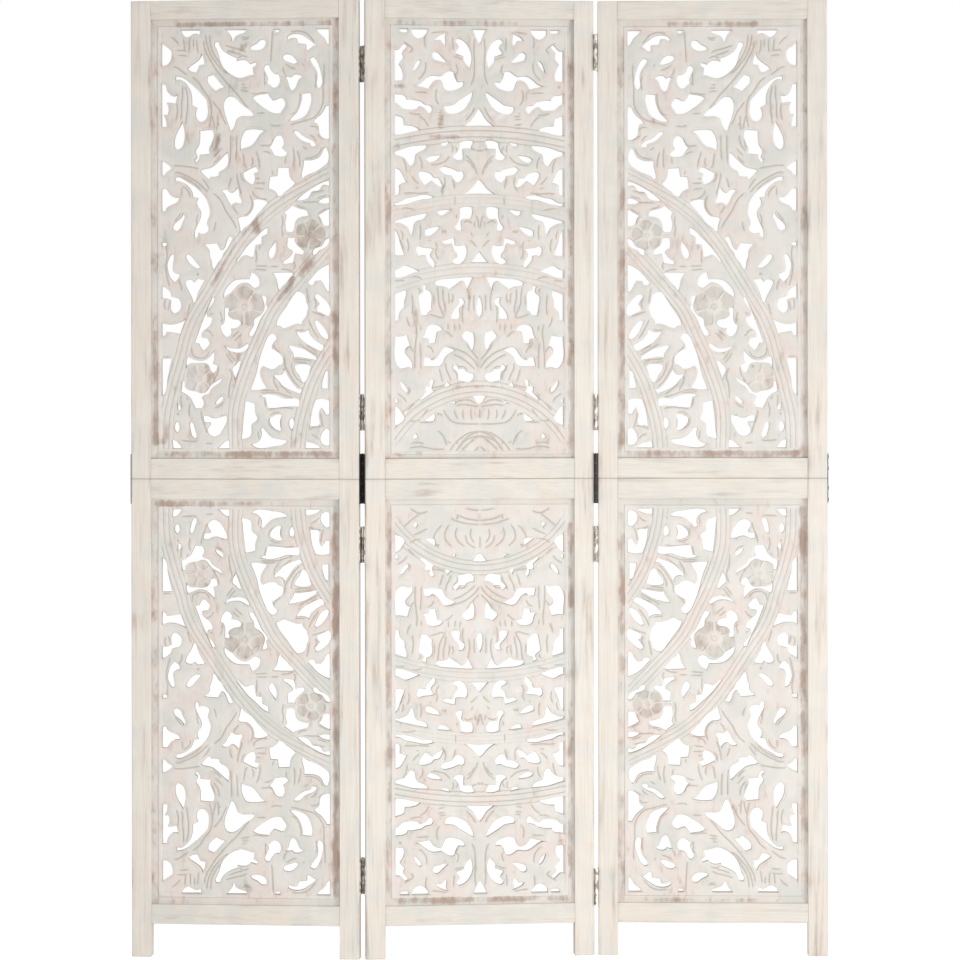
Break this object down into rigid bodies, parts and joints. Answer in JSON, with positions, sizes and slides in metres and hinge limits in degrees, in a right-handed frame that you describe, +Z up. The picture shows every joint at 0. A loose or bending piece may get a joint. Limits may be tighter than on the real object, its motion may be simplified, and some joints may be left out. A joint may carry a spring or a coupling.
{
  "type": "carved jali screen",
  "caption": "Free-standing folding room divider: hinged leaves of whitewashed wood, each with pierced and carved floral jali panels in plain frames, upper and lower halves joined by plates.",
  "frame": {"origin": "on the floor, under the middle of the open screen's bounding box", "axes": "+Z up, front towards -Y, +X to the right seen from the front"},
  "size_m": [1.2074, 0.0637, 1.65],
  "materials": {
    "whitewashed_frame": "whitewashed, worn",
    "carved_panel": "whitewashed, worn through on high edges",
    "steel_hinge": "dull zinc-plated",
    "black_steel": "satin black"
  },
  "bodies": {
    "left_leaf": {"left_upper_stile_left": "whitewashed_frame", "left_upper_stile_right": "whitewashed_frame", "left_upper_bottom_rail": "whitewashed_frame", "left_upper_top_rail": "whitewashed_frame", "left_upper_jali_panel": "carved_panel", "left_lower_stile_left": "whitewashed_frame", "left_lower_stile_right": "whitewashed_frame", "left_lower_bottom_rail": "whitewashed_frame", "left_lower_top_rail": "whitewashed_frame", "left_lower_jali_panel": "carved_panel", "left_hinge_screws": "steel_hinge", "left_seam_screws": "black_steel", "left_line_top_hinge_on_left": "steel_hinge", "left_line_above_seam_hinge_on_left": "steel_hinge", "left_line_below_seam_hinge_on_left": "steel_hinge", "left_line_foot_hinge_on_left": "steel_hinge", "left_line_seam_hinge_on_left": "black_steel", "left_joining_plate": "black_steel"},
    "centre_leaf": {"centre_upper_stile_left": "whitewashed_frame", "centre_upper_stile_right": "whitewashed_frame", "centre_upper_bottom_rail": "whitewashed_frame", "centre_upper_top_rail": "whitewashed_frame", "centre_upper_jali_panel": "carved_panel", "centre_lower_stile_left": "whitewashed_frame", "centre_lower_stile_right": "whitewashed_frame", "centre_lower_bottom_rail": "whitewashed_frame", "centre_lower_top_rail": "whitewashed_frame", "centre_lower_jali_panel": "carved_panel", "centre_hinge_screws": "steel_hinge", "centre_seam_screws": "black_steel", "left_line_top_hinge_on_centre": "steel_hinge", "left_line_above_seam_hinge_on_centre": "steel_hinge", "left_line_below_seam_hinge_on_centre": "steel_hinge", "left_line_foot_hinge_on_centre": "steel_hinge", "left_line_seam_hinge_on_centre": "black_steel", "left_line_hinge_pins": "steel_hinge", "right_line_top_hinge_on_centre": "steel_hinge", "right_line_above_seam_hinge_on_centre": "steel_hinge", "right_line_below_seam_hinge_on_centre": "steel_hinge", "right_line_foot_hinge_on_centre": "steel_hinge", "right_line_seam_hinge_on_centre": "black_steel", "right_line_hinge_pins": "steel_hinge"},
    "right_leaf": {"right_upper_stile_left": "whitewashed_frame", "right_upper_stile_right": "whitewashed_frame", "right_upper_bottom_rail": "whitewashed_frame", "right_upper_top_rail": "whitewashed_frame", "right_upper_jali_panel": "carved_panel", "right_lower_stile_left": "whitewashed_frame", "right_lower_stile_right": "whitewashed_frame", "right_lower_bottom_rail": "whitewashed_frame", "right_lower_top_rail": "whitewashed_frame", "right_lower_jali_panel": "carved_panel", "right_hinge_screws": "steel_hinge", "right_seam_screws": "black_steel", "right_line_top_hinge_on_right": "steel_hinge", "right_line_above_seam_hinge_on_right": "steel_hinge", "right_line_below_seam_hinge_on_right": "steel_hinge", "right_line_foot_hinge_on_right": "steel_hinge", "right_line_seam_hinge_on_right": "black_steel", "right_joining_plate": "black_steel"}
  },
  "joints": [
    {"name": "left_fold", "type": "hinge", "parent": "centre_leaf", "child": "left_leaf", "pos_m": [-0.20159, -0.00371, 0.825], "axis": [0, 0, -1], "range_deg": [-10.2, 169.8]},
    {"name": "right_fold", "type": "hinge", "parent": "centre_leaf", "child": "right_leaf", "pos_m": [0.20177, 0.00349, 0.825], "axis": [0, 0, -1], "range_deg": [-7.5, 172.5]}
  ]
}
